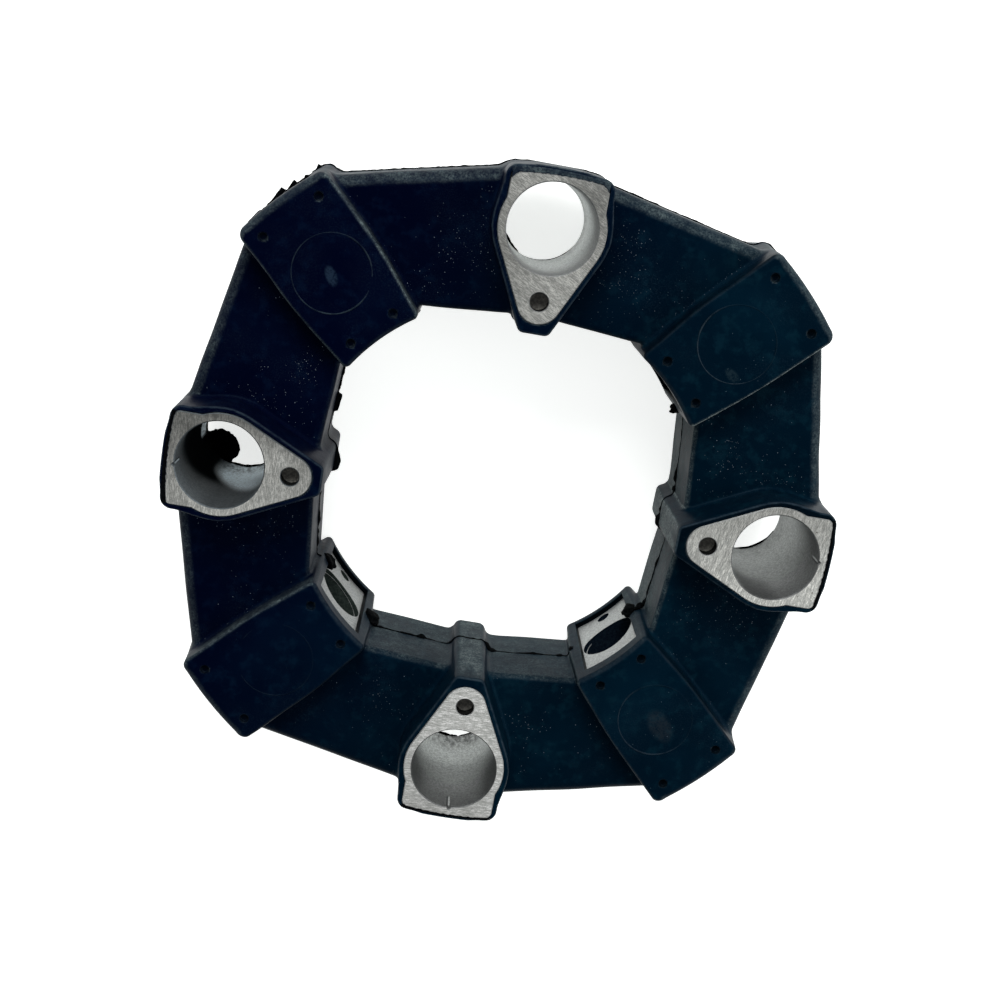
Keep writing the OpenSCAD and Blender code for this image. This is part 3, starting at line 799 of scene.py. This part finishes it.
# Materials
class Nodes:
    """A node tree, with one short call per node."""

    def __init__(self, owner, output="OutputMaterial"):
        self.owner = owner
        owner.use_nodes = True
        self.tree = owner.node_tree
        self.tree.nodes.clear()
        self.out = self.add(output)

    def add(self, kind, props=None, **inputs):
        node = self.tree.nodes.new("ShaderNode" + kind)
        for key, value in (props or {}).items():
            setattr(node, key, value)
        for key, value in inputs.items():
            self.put(node, key, value)
        return node

    def put(self, node, key, value):
        """Sets or links an input, called by its name without spaces or by i and its number."""
        names = [s for s in node.inputs if s.name.replace(" ", "") == key]
        socket = names[0] if names else node.inputs[int(key[1:])]
        if isinstance(value, bpy.types.NodeSocket):
            self.tree.links.new(value, socket)
        else:
            socket.default_value = value

    def math(self, op, a, b=0.5, c=0.5, clamp=False):
        return self.add("Math", {"operation": op, "use_clamp": clamp}, i0=a, i1=b, i2=c).outputs[0]

    def times(self, *values, clamp=False):
        product = values[0]
        for k, value in enumerate(values[1:], 2):
            product = self.math("MULTIPLY", product, value, clamp=clamp and k == len(values))
        return product

    def line(self, x, slope, start, clamp=False):
        return self.math("MULTIPLY_ADD", x, slope, start, clamp)

    def ramp(self, value, lo, hi, out_lo=0.0, out_hi=1.0):
        return self.add("MapRange", {"interpolation_type": "SMOOTHSTEP"}, Value=value, FromMin=lo, FromMax=hi,
                        ToMin=out_lo, ToMax=out_hi).outputs[0]

    def mix(self, factor, a, b):
        return self.add("Mix", {"data_type": "RGBA"}, i0=factor, i6=a, i7=b).outputs[2]

    def place(self):
        return self.add("TexCoord").outputs["Object"]

    def split(self, vector):
        return self.add("SeparateXYZ", Vector=vector).outputs

    def noise(self, vector, scale, detail=3.0, rough=0.5):
        return self.add("TexNoise", Vector=vector, Scale=scale, Detail=detail, Roughness=rough).outputs[0]

    def scaled(self, vector, scale, turn=0.0):
        vector = self.add("Mapping", Vector=vector, Rotation=(0, 0, turn)).outputs[0]
        return self.add("Mapping", Vector=vector, Scale=scale).outputs[0]

    def dots(self, vector, scale, size, share):
        """Small round specks: one cell in so many carries one, each of its own size and strength."""
        cell = self.add("TexVoronoi", {"feature": "F1"}, Vector=vector, Scale=scale, Randomness=1.0).outputs
        pick, grow, strong = self.split(cell["Color"])
        near = self.math("LESS_THAN", cell["Distance"], self.line(grow, size, size * 0.4))
        return self.times(near, self.math("LESS_THAN", pick, share), self.line(strong, 0.75, 0.25))

    def spot(self, vector, centre, turn, half):
        """One in the middle of a turned ellipse, nought outside it."""
        moved = self.add("Mapping", {"vector_type": "TEXTURE"}, Vector=vector, Location=centre,
                         Rotation=(0, 0, math.radians(turn)), Scale=half).outputs[0]
        far = self.add("VectorMath", {"operation": "LENGTH"}, i0=moved).outputs["Value"]
        return self.ramp(far, 0.62, 1.15, 1.0, 0.0)

    def read(self, name):
        return self.add("Attribute", {"attribute_name": name}).outputs["Fac"]

    def bump(self, height, strength, distance, **normal):
        return self.add("Bump", Strength=strength, Distance=distance, Height=height, **normal).outputs[0]

    def finish(self, shader):
        self.tree.links.new(shader.outputs[0], self.out.inputs[0])
        return self.owner


def new_material(name):
    return Nodes(bpy.data.materials.new(name))


def colour(r, g, b):
    """Linear colour from the 0 to 255 values it should show."""
    linear = (c / 255 / 12.92 if c <= 10.3 else ((c / 255 + 0.055) / 1.055) ** 2.4 for c in (r, g, b))
    return (*linear, 1.0)


# Worn spots: centre, direction of the long axis, half sizes, strength, colour
SCUFFS = (((-0.0771, 0.0761, 0.070), -62, (0.0041, 0.0022, 0.004), 0.65, (30, 44, 60)),
          ((0.0795, -0.0795, 0.070), -52, (0.0078, 0.0046, 0.004), 0.34, (38, 44, 48)),
          ((0.0777, 0.0652, 0.070), -35, (0.0036, 0.0020, 0.004), 0.40, (34, 48, 54)))


def rubber_material():
    n = new_material("moulded_rubber")
    place = n.place()
    x, y, z = n.split(place)
    # the compound is bluer at one side of the ring and greener at the other
    side = n.ramp(n.line(y, -0.4, x), -0.10, 0.05)
    tone = n.mix(side, colour(0, 2, 20), colour(0, 14, 26))
    cloud = n.ramp(n.noise(place, 26.0, 3.0, 0.55), 0.4, 0.66, 0.0, 0.6)
    tone = n.mix(cloud, tone, n.mix(side, colour(1, 6, 26), colour(1, 22, 35)))
    patch = n.ramp(n.noise(place, 190.0, 4.0, 0.62), 0.48, 0.72, 0.0, 0.55)
    tone = n.mix(patch, tone, n.mix(side, colour(3, 14, 34), colour(6, 31, 42)))
    # fine dust lying in drifts over the flat faces, and thicker along the creases
    drift = n.ramp(n.noise(place, 34.0, 3.0, 0.6), 0.44, 0.68)
    fine = n.noise(place, 2400.0, 2.0, 0.7)
    tone = n.mix(n.times(n.ramp(fine, 0.5, 0.72), n.line(drift, 0.12, 0.01)), tone, colour(58, 74, 88))
    speck = n.times(n.dots(place, 900.0, 0.10, n.line(drift, 0.22, 0.06)), n.line(side, 0.55, 0.45))
    tone = n.mix(n.times(n.math("POWER", speck, 2.5), 0.48), tone, colour(96, 116, 128))
    crumbs = n.times(n.read("crease"), n.ramp(n.noise(place, 70.0, 2.0), 0.35, 0.62, 0.05, 0.7))
    grit = n.dots(place, 1500.0, 0.2, crumbs)
    tone = n.mix(n.times(grit, 0.7), tone, colour(104, 112, 122))
    # rims made paler: rubbed wear with a painted highlight
    rub = n.ramp(n.noise(place, 240.0, 4.0, 0.7), 0.32, 0.62, 0.25, 1.0)
    tone = n.mix(n.times(n.read("rim"), rub, 0.3), tone, colour(40, 50, 58))
    # talc and mould release on the walls, thinning out in fine grains towards the film's edge; how much lies on a
    # wall by the direction it faces is painted light
    talc = n.read("talc")
    streak = n.noise(n.scaled(place, (55, 55, 210)), 1.0, 5.0, 0.7)
    mottle = n.ramp(n.noise(place, 420.0, 4.0, 0.75), 0.3, 0.62, 0.4, 1.0)
    blotch = n.ramp(n.noise(n.scaled(place, (150, 150, 90)), 1.0, 5.0, 0.7), 0.36, 0.6, 0.45, 1.0)
    grains = n.noise(place, 1250.0, 3.0, 0.75)
    laid = n.line(n.math("SUBTRACT", fine, 0.5), n.times(talc, 0.9), talc)
    film_and_light = n.times(laid, n.ramp(streak, 0.3, 0.75, 0.4, 1.0), mottle, blotch,
                   n.ramp(grains, 0.38, 0.62, 0.35, 1.45), clamp=True)
    heavy = n.math("SUBTRACT", talc, 1.0, clamp=True)
    tone = n.mix(film_and_light, tone, n.mix(heavy, colour(74, 85, 87), colour(112, 121, 121)))
    # worn spots on the pads' upper faces
    for centre, turn, half, strength, worn_tone in SCUFFS:
        worn = n.times(n.spot(place, centre, turn, half), n.ramp(grains, 0.36, 0.56, 0.15, 1.0), strength)
        tone = n.mix(worn, tone, colour(*worn_tone))
    # painted shade: black inside the windows' reveals, and where the attribute says so
    reach = n.math("SQRT", n.math("ADD", n.times(x, x), n.times(y, y)))
    aside = n.math("ABSOLUTE", n.math("SUBTRACT", n.math("ABSOLUTE", x), n.math("ABSOLUTE", y)))
    tall = n.math("ABSOLUTE", n.math("SUBTRACT", z, WINDOW_Z * MM))
    reveal = n.times(n.ramp(reach, 0.0790, 0.0793), n.ramp(reach, 0.0816, 0.0822, 1.0, 0.0),
                     n.ramp(aside, 0.0182, 0.0188, 1.0, 0.0), n.ramp(tall, 0.0284, 0.0290, 1.0, 0.0), 0.97)
    tone = n.mix(n.math("MAXIMUM", reveal, n.read("deep")), tone, colour(1, 3, 5))
    rough = n.ramp(n.noise(place, 60.0, 4.0, 0.6), 0.3, 0.7, 0.32, 0.42)
    rough = n.line(n.math("MAXIMUM", speck, grit), 0.3, n.line(film_and_light, 0.35, rough), clamp=True)
    normal = n.bump(fine, 0.16, 0.00010)
    normal = n.bump(n.noise(place, 200.0, 4.0, 0.55), 0.3, 0.00030, Normal=normal)
    normal = n.bump(streak, 0.2, 0.0003, Normal=normal)
    return n.finish(n.add("BsdfPrincipled", BaseColor=tone, Roughness=rough, Normal=normal,
                          SpecularIORLevel=0.02, SpecularTint=(0.45, 0.72, 1.0, 1.0)))


def rough_material(name, dark, light):
    """Matt, with a coarse grain between two tones: torn rubber, and the dark insides of holes, partly painted shade.
    """
    n = new_material(name)
    grain = n.noise(n.place(), 900.0, 4.0, 0.7)
    tone = n.mix(n.ramp(grain, 0.35, 0.75), colour(*dark), colour(*light))
    return n.finish(n.add("BsdfPrincipled", BaseColor=tone, Roughness=0.8, SpecularIORLevel=0.02,
                          Normal=n.bump(grain, 0.5, 0.0003)))


def metal_material(name, turn, tint, bright=(0.97, 1.0, 0.985, 1), gloss=0.06):
    """Cast aluminium with milled upper faces, marked one way and made lighter or darker by tint."""
    middle, pale, dark = ((*(min(c * tint, 1) for c in colour(*t)[:3]), 1.0)
                          for t in ((164, 166, 162), (222, 222, 216), (128, 129, 125)))
    n = new_material(name)
    place = n.place()
    flat = n.ramp(n.split(n.add("NewGeometry").outputs["Normal"])[2], 0.75, 0.97)
    # milling marks: short fine strokes, all one way, over a sandy grain
    turn = math.radians(turn)
    lines = n.noise(n.scaled(place, (3300, 420, 420), turn), 1.0, 2.0, 0.7)
    bands = n.noise(n.scaled(place, (1050, 120, 120), turn), 1.0, 2.0, 0.6)
    face = n.mix(n.ramp(lines, 0.40, 0.60), middle, pale)
    face = n.mix(n.ramp(n.noise(place, 2300.0, 2.0, 0.7), 0.44, 0.66, 0.0, 0.5), face, dark)
    face = n.mix(n.ramp(bands, 0.42, 0.62, 0.0, 0.42), face, dark)
    face = n.mix(n.ramp(n.noise(place, 150.0, 5.0, 0.65), 0.52, 0.78, 0.0, 0.4), face, dark)
    pit = n.dots(place, 620.0, 0.16, n.line(n.read("pitted"), 0.5, 0.012))
    face = n.mix(n.times(pit, 0.8), face, colour(84, 76, 66))
    # painted light and shade across the milled face, from the sheen attribute
    face = n.mix(n.read("sheen"), (0, 0, 0, 1), face)
    # as cast: brightness from the shade attribute, painted light and shade in the bores, with a coarse grain, and
    # dark where soiled
    shade = n.read("shade")
    grain = n.ramp(n.noise(place, 1100.0, 4.0, 0.75), 0.32, 0.68, 0.72, 1.28)
    blot = n.ramp(n.noise(n.scaled(place, (420, 420, 160)), 1.0, 4.0, 0.65), 0.40, 0.62, 1.0, 0.35)
    soiled = n.line(n.math("SUBTRACT", blot, 1.0), n.read("soil"), 1.0)
    cast = n.mix(n.times(shade, grain, soiled, clamp=True), (0.0015, 0.002, 0.003, 1), bright)
    normal = n.bump(n.noise(place, 1500.0, 4.0, 0.7), 0.4, 0.00010, Normal=n.bump(lines, 0.3, 0.00004))
    metallic = n.times(n.ramp(shade, 0.0, 0.1, 0.0, 0.7), n.line(flat, -0.4, 1.0))
    return n.finish(n.add("BsdfPrincipled", BaseColor=n.mix(flat, cast, face), Metallic=metallic,
                          Roughness=n.line(n.math("SUBTRACT", 1.0, flat), 0.1, 0.5), Normal=normal,
                          SpecularIORLevel=gloss))


def store(obj, **values):
    """Keep numbers per vertex, for the material to read."""
    for name, value in values.items():
        layer = obj.data.attributes.new(name, "FLOAT", "POINT")
        spread = np.broadcast_to(value, len(obj.data.vertices))
        layer.data.foreach_set("value", spread.astype(np.float32))


def set_material(obj, *mats):
    obj.data.materials.clear()
    for mat in mats:
        obj.data.materials.append(mat)


def face_data(mesh, degrees):
    """Middles in millimetres and normals of a mesh's faces, as seen from its station."""
    mid, no = (np.empty(len(mesh.polygons) * 3, np.float32) for _ in range(2))
    mesh.polygons.foreach_get("center", mid)
    mesh.polygons.foreach_get("normal", no)
    return turned(mid.reshape(-1, 3) * 1000.0, -degrees), turned(no.reshape(-1, 3), -degrees)


def apart(a, b):
    """Degrees between directions, the shorter way round."""
    return np.abs((a - b + 180) % 360 - 180)


# Each pad's flanks: painted light as film and painted shade on the side turned backwards, painted light as film on
# the one turned clockwise
FLANK_LIGHT_AND_SHADE = ((0.0, 0.45, 2.0), (0.8, 0.0, 1.15), (0.0, 0.5, 1.0), (0.0, 0.4, 0.6))
# Film and painted light on the outer walls by the direction they face, and how much of both lies on the inner ones
OUTER_FILM_AND_LIGHT = ((0, 22, 45, 67, 112, 135, 157, 202, 225, 247, 270, 315, 337, 360),
              (0.62, 0.5, 0.6, 0.64, 0.72, 0.38, 0.52, 0.5, 0.3, 0.05, 0.0, 0.0, 0.55, 0.62))
INNER_FILM_AND_LIGHT = ((30, 45, 58, 67, 79, 90, 101, 112, 125, 135, 146, 157, 191, 202),
              (0.38, 0.38, 0.55, 0.6, 0.95, 1.05, 0.8, 0.4, 0.3, 0.3, 1.1, 1.75, 1.6, 0.18))
# painted shade in the pads' blind marks
MARK_SHADE = np.array((0.6, 0.4, 0.5, 0.7))     # how dark each pad's blind marks are
# Each mould ring's painted highlight: where it shows most, how much of it fades elsewhere, and its strength
RING_LIGHT = ((220, 0.85, 2.6), (-50, 0.45, 2.6), (200, 0.85, 0.7), (225, 0.85, 2.0))

# where dust gathers, rims rub pale with a painted highlight, and talc lies with painted light
lie = rubber_plan(pts[:, 0], pts[:, 1])
height = pts[:, 2]
level = np.abs(height - PART_Z)
foot = np.exp(-((lie["boss"] - 2.9) / 0.7) ** 2) + 0.8 * np.exp(-((lie["flank"] - 1.7) / 0.6) ** 2)
crease = np.clip(np.exp(-((level - SEG_HALF) / 0.9) ** 2) * foot, 0, 1)
plain = np.linalg.norm(norms[:, :2], axis=1)
lean = (norms[:, :2] * pts[:, :2]).sum(1) / lie["r"] / np.maximum(plain, 1e-6)
# thinner above the parting line than below it, thicker on the ribs
walls = step(-lean, 0.5, 0.85) * step(plain, 0.25, 0.8)
walls *= (1 - 0.4 * step(height, 33, 40)) * (1 - 0.5 * step(height, 64, 70))
rib = (lie["u"] < 77) & (lie["v"] < 9) & (height < 74)
walls = np.where(rib, 1.25 * step(-lean, 0.5, 0.9) * step(plain, 0.3, 0.8), walls)
facing = np.degrees(np.arctan2(norms[:, 1], norms[:, 0])) % 360
# painted light: the film grows or fades by the direction a wall faces
walls *= np.interp(facing, *INNER_FILM_AND_LIGHT)
walls += np.interp(facing, *OUTER_FILM_AND_LIGHT) * step(lean, 0.4, 0.7) * step(plain, 0.04, 0.42)
walls += 0.02 * step(plain, 0.5, 0.9)
# dark on the right boss's rim, and painted shade in the pads' blind marks
skin_top = (level > 42.5) & (pts[:, 0] > 60) & (pts[:, 1] > -16) & (norms[:, 2] > 0.9)
quarter = ((np.degrees(np.arctan2(pts[:, 1], pts[:, 0])) % 360) // 90).astype(int)
deep = 0.6 * skin_top + MARK_SHADE[quarter] * ((lie["mark"] < 0.9) & (level < 34.97) & (height > PART_Z))
# painted light as film, and painted shade, on the flanks on either side of each pad
for k, (film_light_a, painted_shade_a, film_light_b) in enumerate(FLANK_LIGHT_AND_SHADE):
    pu, pv, _ = turned(pts, -(45 + 90 * k)).T
    on = step(plain, 0.3, 0.7) * step(height, 60, 67) * (pu > 78) * (np.abs(lean) < 0.75)
    on *= (np.abs(pv) > 15) & (np.abs(pv) < 24.5)
    walls += on * np.where(pv > 0, film_light_a, film_light_b)
    deep = np.maximum(deep, on * painted_shade_a * (pv > 0))
# rims: rubbed wear with a painted highlight, stronger on the bosses' upper rims
rim = step(norms[:, 2], 0.2, 0.6) * (1 - step(norms[:, 2], 0.88, 0.98)) * (level > 27.0) * (1 + 1.3 * (level > 38))
store(rubber, crease=crease, deep=deep, talc=np.clip(walls, 0, 2.2), rim=rim)

rubber_mat = rubber_material()
flash_mat = rough_material("torn_rubber", (1, 2, 3), (9, 11, 13))
set_material(rubber, rubber_mat)
for obj in flash + lips + lumps:
    set_material(obj, flash_mat)
# the rings' paler rim value is a painted highlight, strongest on one side of each ring
for k, (obj, (most, fade, strength)) in enumerate(zip(rings, RING_LIGHT)):
    v = turned(read_mesh(obj.data) / MM, -(45 + 90 * k)) - [PAD_MID, 0, 0]
    a = np.degrees(np.arctan2(v[:, 1], v[:, 0])) + 45 + 90 * k
    store(obj, rim=np.clip((1 - fade * step(apart(a, most), 50, 120)) * strength, 0.3, 3))
    set_material(obj, rubber_mat)
# the lap over the upper insert carries the same pale film as the walls
store(lips[1], talc=0.8)
set_material(lips[1], rubber_mat)

# Each axial insert: tone of its milled face, mean of its painted sheen, the sheen's swing round the bore and where
# it peaks, direction of the milling marks, brightness of the sides, painted light in the bore, and how far the bore
# is soiled
METALS = ((1.23, 0.787, 0.225, 279, 8, 0.25, 1.0, 0.3), (0.83, 0.712, 0.077, 290, -62, 0.2, 1.38, 0.3),
          (0.90, 0.66, 0.365, 286, -6, 0.1, 1.0, 1.0), (1.42, 0.82, 0.10, 75, 86, 0.3, 1.0, 1.0))
# Painted light and shade in a bore, dark at its mouth and bright further down: depth and brightness
BORE_LIGHT_BY_DEPTH = ((0, 4, 11, 19, 27, 35, 43, 51, 59, 67, 71),
          (0.15, 0.16, 0.20, 0.32, 0.48, 0.58, 0.60, 0.57, 0.50, 0.42, 0.4))
# painted shade: the pin holes' walls and floors get darker matt tones
pin_wall = rough_material("pin_hole_wall", (14, 15, 15), (34, 35, 34))
pin_floor = rough_material("pin_hole_floor", (84, 84, 80), (124, 122, 116))
for k, (obj, (tint, mean, swing, peak, marks, sides, gain, soil)) in enumerate(zip(axial, METALS)):
    along, across, z = turned(read_mesh(obj.data) / MM, -90 * k).T
    local = np.degrees(np.arctan2(across, along - AXIAL_R))
    wide = (local + 90 * k) % 360
    shade = np.interp(AXIAL_TOP - z, *BORE_LIGHT_BY_DEPTH) * gain
    # painted shade on one side of this bore, part way down
    if k == 0:
        shade *= 1 - 0.45 * step(-np.abs(wide - 262), -36, -12) * step(z, 46, 60)
    if k == 2:
        # painted shade and light in this bore: darker on its outer side down to the torn skin and black next to it;
        # a bright patch stays lower right
        patch = step((wide - 240) * 0.4 - (z - 30), -6, 6) * step(wide, 234, 262)
        patch = np.maximum(patch, step(-np.abs(wide - 181), -13, -9) * step(-np.abs(z - 18.5), -6, -4))
        blackened = step(60 - 0.25 * (wide - 180) - z, -14, 4)
        dull = np.interp(AXIAL_TOP - z, (0, 4, 11, 19, 27, 45), (0.62, 0.55, 0.34, 0.2, 0.15, 0.14))
        dull *= np.interp(wide, (190, 205, 240, 262), (1.3, 1.75, 1.7, 0.95))
        shade = shade * (dull * (1 - blackened) * (1 - patch) + 1.6 * patch) + 0.007
    if k == 3:
        # painted light lower down, and painted shade on its sides in the upper part
        shade *= (1 + 0.4 * step(-z, -46, -34)) * (1 - 0.5 * step(apart(wide, 275), 33, 62) * step(z, 40, 62))
    # the notch's groove, with a painted highlight in it and a painted shadow beside it
    off = (local - NOTCH_AT[k] + 180) % 360 - 180
    shade = np.where((np.abs(off) < 1.0) & (z > 69.5) & (z < 76), 0.62, shade)
    shade = np.where((np.abs(off + 2.4) < 1.2) & (z > 69.5) & (z < 77.5), 0.35 * shade, shade)
    bore = np.hypot(along - AXIAL_R, across) < BORE_R + 0.9
    # painted light: each face brighter towards one side round its bore
    sheen = mean + swing * np.cos(np.radians(wide - peak))
    if k == 1:
        sheen += 0.154 * np.cos(np.radians(2 * (wide - 300)))
    store(obj, shade=np.where(bore, shade, sides), sheen=np.clip(sheen, 0, 1),
          soil=bore * step(26 - z, 0, 10) * soil, pitted=(k == 0) * step(along, 116, 124) * step(-across, 2, 12))
    cold = ((0.82, 0.94, 1.0, 1), 0.0) if k == 2 else ()
    set_material(obj, metal_material(f"milled_{k + 1}", marks, tint, *cold), pin_wall, pin_floor)
    mid, no = face_data(obj.data, 90 * k)
    pin = (np.hypot(mid[:, 0] - PIN_AT, mid[:, 1]) < PIN_R + 0.1) & (mid[:, 2] < AXIAL_TOP - 0.25)
    obj.data.polygons.foreach_set("material_index", (pin * (1 + (no[:, 2] > 0.3))).astype(np.int32))

for k, obj in enumerate(radial):
    mid, no = face_data(obj.data, 45 + 90 * k)
    along, across, z = mid.T
    # the bore's walls and the small hole below it get a dark matt material; in the small hole it is painted shade
    hole = np.hypot(across, z - PART_Z) < 12.1
    dark = hole & (np.abs(no[:, 0]) < 0.5)
    dark |= (np.hypot(across, z - 10.0) < 3.0) & (along > 81.4) & (along < 100)
    if k == 3:
        # little light reaches the far side of this hole's ledge
        dark |= hole & (along > 81.6) & (across > -8.5)
    store(obj, shade=0.31 if k == 2 else 0.4, sheen=1.0, soil=0.0, pitted=0.0)
    hole_tones = ((26, 33, 31), (48, 55, 52)) if k == 2 else ((3, 9, 19), (14, 24, 32))
    set_material(obj, metal_material(f"milled_radial_{k + 1}", 45, 0.62),
                 rough_material(f"radial_bore_{k + 1}", *hole_tones))
    obj.data.polygons.foreach_set("material_index", dark.astype(np.int32))


# Floor, light and camera
def floor():
    bm = bmesh.new()
    bmesh.ops.create_grid(bm, x_segments=24, y_segments=24, size=3.0)
    mesh = bpy.data.meshes.new("floor")
    bm.to_mesh(mesh)
    bm.free()
    obj = link("floor", mesh)
    obj.location.z = -0.0006
    n = new_material("pale_floor")
    path = n.add("LightPath").outputs
    tone = n.mix(n.ramp(n.noise(n.place(), 9.0, 2.0), 0.3, 0.7), (0.78, 0.79, 0.78, 1), (0.80, 0.81, 0.80, 1))
    matte = n.add("BsdfDiffuse", Color=tone)
    seen = n.math("MAXIMUM", path["Is Camera Ray"], path["Is Glossy Ray"])
    seen = n.math("MAXIMUM", seen, path["Is Transmission Ray"])
    glow = n.add("Emission", Color=(0.985, 1, 0.985, 1), Strength=n.times(seen, 0.72))
    mesh.materials.append(n.finish(n.add("AddShader", i0=matte.outputs[0], i1=glow.outputs[0])))


def world():
    """White where it is seen; a soft sky for the light, with a bright rim for what shines."""
    bpy.context.scene.world = bpy.data.worlds.new("studio")
    n = Nodes(bpy.context.scene.world, "OutputWorld")
    path = n.add("LightPath").outputs
    height = n.split(n.add("TexCoord").outputs["Generated"])[2]
    shine = n.add("Background", Color=(0.93, 0.98, 1.0, 1), Strength=n.ramp(height, 0.02, 0.36, 1.0, 0.05))
    plain = n.add("Background", Color=(0.97, 0.985, 1.0, 1), Strength=0.6)
    white = n.add("Background", Color=(1, 1, 1, 1))
    lit = n.add("MixShader", i0=path["Is Glossy Ray"], i1=plain.outputs[0], i2=shine.outputs[0])
    seen = n.math("MAXIMUM", path["Is Camera Ray"], path["Is Transmission Ray"])
    n.finish(n.add("MixShader", i0=seen, i1=lit.outputs[0], i2=white.outputs[0]))


def softbox(name, at, size, power):
    light = bpy.data.lights.new(name, "AREA")
    light.shape = "RECTANGLE"
    light.size = light.size_y = size
    light.energy = power
    obj = link(name, light)
    obj.location = at
    obj.rotation_euler = (Vector((0, 0, 0.03)) - Vector(at)).to_track_quat("-Z", "Y").to_euler()


floor()
world()
softbox("key", (-0.25, 1.25, 1.05), 0.8, 22.0)
softbox("fill", (1.25, 0.1, 0.7), 0.9, 8.0)

# the photograph's camera: its axes and its place, in metres
camera = link("camera", bpy.data.cameras.new("camera"))
right = Vector((0.98447386, 0.1744523, 0.01943244))
down = Vector((0.16436298, -0.95502799, 0.24679213))
ahead = Vector((0.06161198, -0.23976643, -0.96887358))
pose = Matrix((right, -down, -ahead)).transposed().to_4x4()
pose.translation = Vector((-0.0341744, 0.1333511, 0.5991727))
camera.matrix_world = pose
camera.data.sensor_width = 36.0
camera.data.lens = 36.0 * 1.414146
camera.data.clip_start = 0.01
bpy.context.scene.camera = camera
bpy.context.scene.view_settings.view_transform = "Standard"
